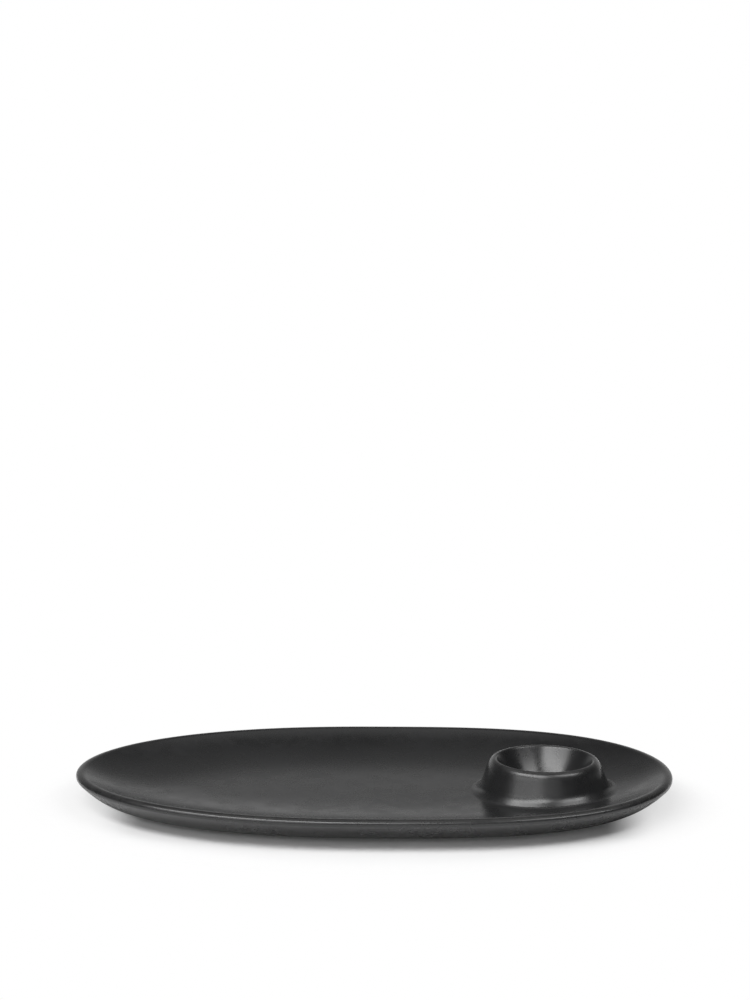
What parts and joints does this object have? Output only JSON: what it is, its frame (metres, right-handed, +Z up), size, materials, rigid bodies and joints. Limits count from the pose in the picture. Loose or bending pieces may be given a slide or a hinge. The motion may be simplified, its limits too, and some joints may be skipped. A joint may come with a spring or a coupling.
{
  "type": "breakfast plate",
  "caption": "Oval black glazed ceramic breakfast plate with a shallow dished well, a rounded lip, a low foot ring and a conical egg cup joined into the well near one end.",
  "frame": {"origin": "on the table under the middle of the plate", "axes": "+X along the plate's length towards the end with the egg cup, +Z up, -Y towards the front"},
  "size_m": [0.28, 0.16, 0.0214],
  "materials": {
    "black_glaze": "satin black glaze",
    "bare_clay": "unglazed matt dark stoneware"
  },
  "bodies": {
    "root": {"plate_body": "black_glaze", "egg_cup": "black_glaze", "foot_ring": "bare_clay"}
  },
  "joints": []
}
